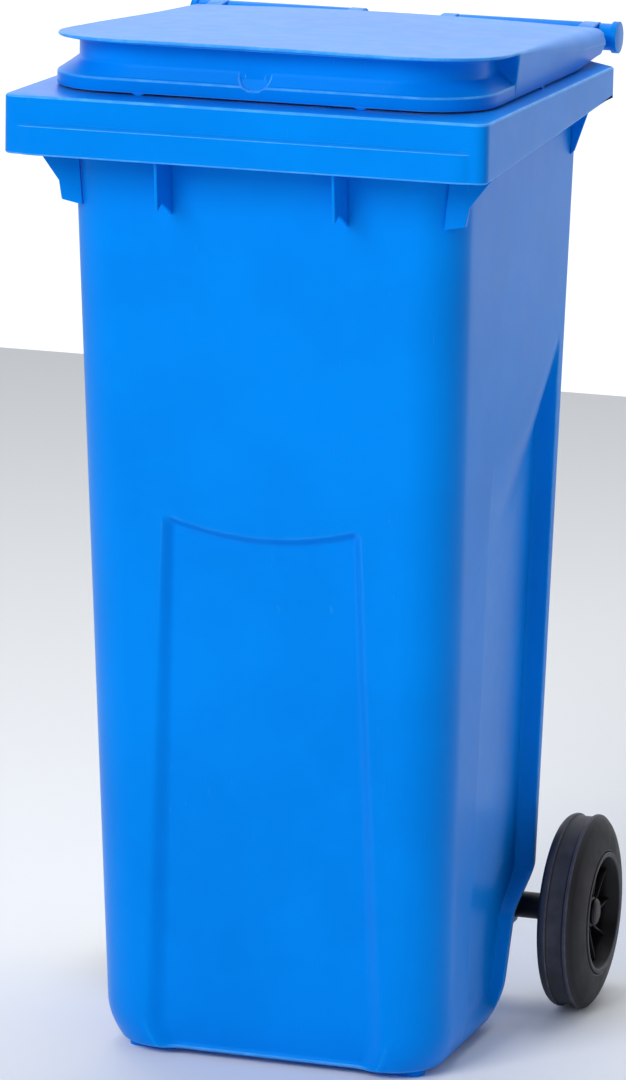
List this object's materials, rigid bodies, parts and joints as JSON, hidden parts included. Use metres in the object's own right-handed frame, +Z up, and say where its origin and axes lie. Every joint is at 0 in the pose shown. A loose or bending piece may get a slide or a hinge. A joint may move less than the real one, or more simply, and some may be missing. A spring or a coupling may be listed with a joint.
{
  "type": "wheelie bin",
  "caption": "Two-wheeled refuse bin with a tapered plastic tub, a hinged lid with a front grip lip, rear grip tubes and rubber-tyred wheels on a steel axle.",
  "frame": {"origin": "on the floor, under the middle of the bin's overall width and depth", "axes": "+X to the bin's right seen from the front, +Y from the front face to the wheels and hinge, +Z up"},
  "size_m": [0.508, 0.55, 1.026],
  "materials": {
    "blue_plastic": "moulded polyethylene, semi-gloss, bright blue",
    "black_plastic": "moulded, satin black",
    "tyre": "solid rubber, matt charcoal",
    "steel": "zinc plated"
  },
  "bodies": {
    "bin": {"tub": "blue_plastic", "rim": "blue_plastic", "rim_ribs": "blue_plastic", "foot_pads": "blue_plastic", "handle_left": "blue_plastic", "handle_right": "blue_plastic", "axle_mount_left": "blue_plastic", "axle_mount_right": "blue_plastic", "axle": "steel", "spacer_left": "black_plastic", "spacer_right": "black_plastic", "hinge_pin_left": "blue_plastic", "hinge_pin_right": "blue_plastic", "axle_cap_left": "black_plastic", "axle_cap_right": "black_plastic"},
    "lid": {"lid_shell": "blue_plastic", "lid_knuckles_left": "blue_plastic", "lid_knuckles_right": "blue_plastic", "lid_rests": "blue_plastic"},
    "wheel_left": {"hub_left": "black_plastic", "tyre_left": "tyre"},
    "wheel_right": {"hub_right": "black_plastic", "tyre_right": "tyre"}
  },
  "joints": [
    {"name": "lid_hinge", "type": "hinge", "parent": "bin", "child": "lid", "pos_m": [0, 0.237, 0.992], "axis": [-1, 0, 0], "range_deg": [0, 255]},
    {"name": "wheel_left_spin", "type": "hinge", "parent": "bin", "child": "wheel_left", "pos_m": [-0.23, 0.175, 0.1], "axis": [1, 0, 0], "continuous": true},
    {"name": "wheel_right_spin", "type": "hinge", "parent": "bin", "child": "wheel_right", "pos_m": [0.23, 0.175, 0.1], "axis": [1, 0, 0], "continuous": true}
  ]
}
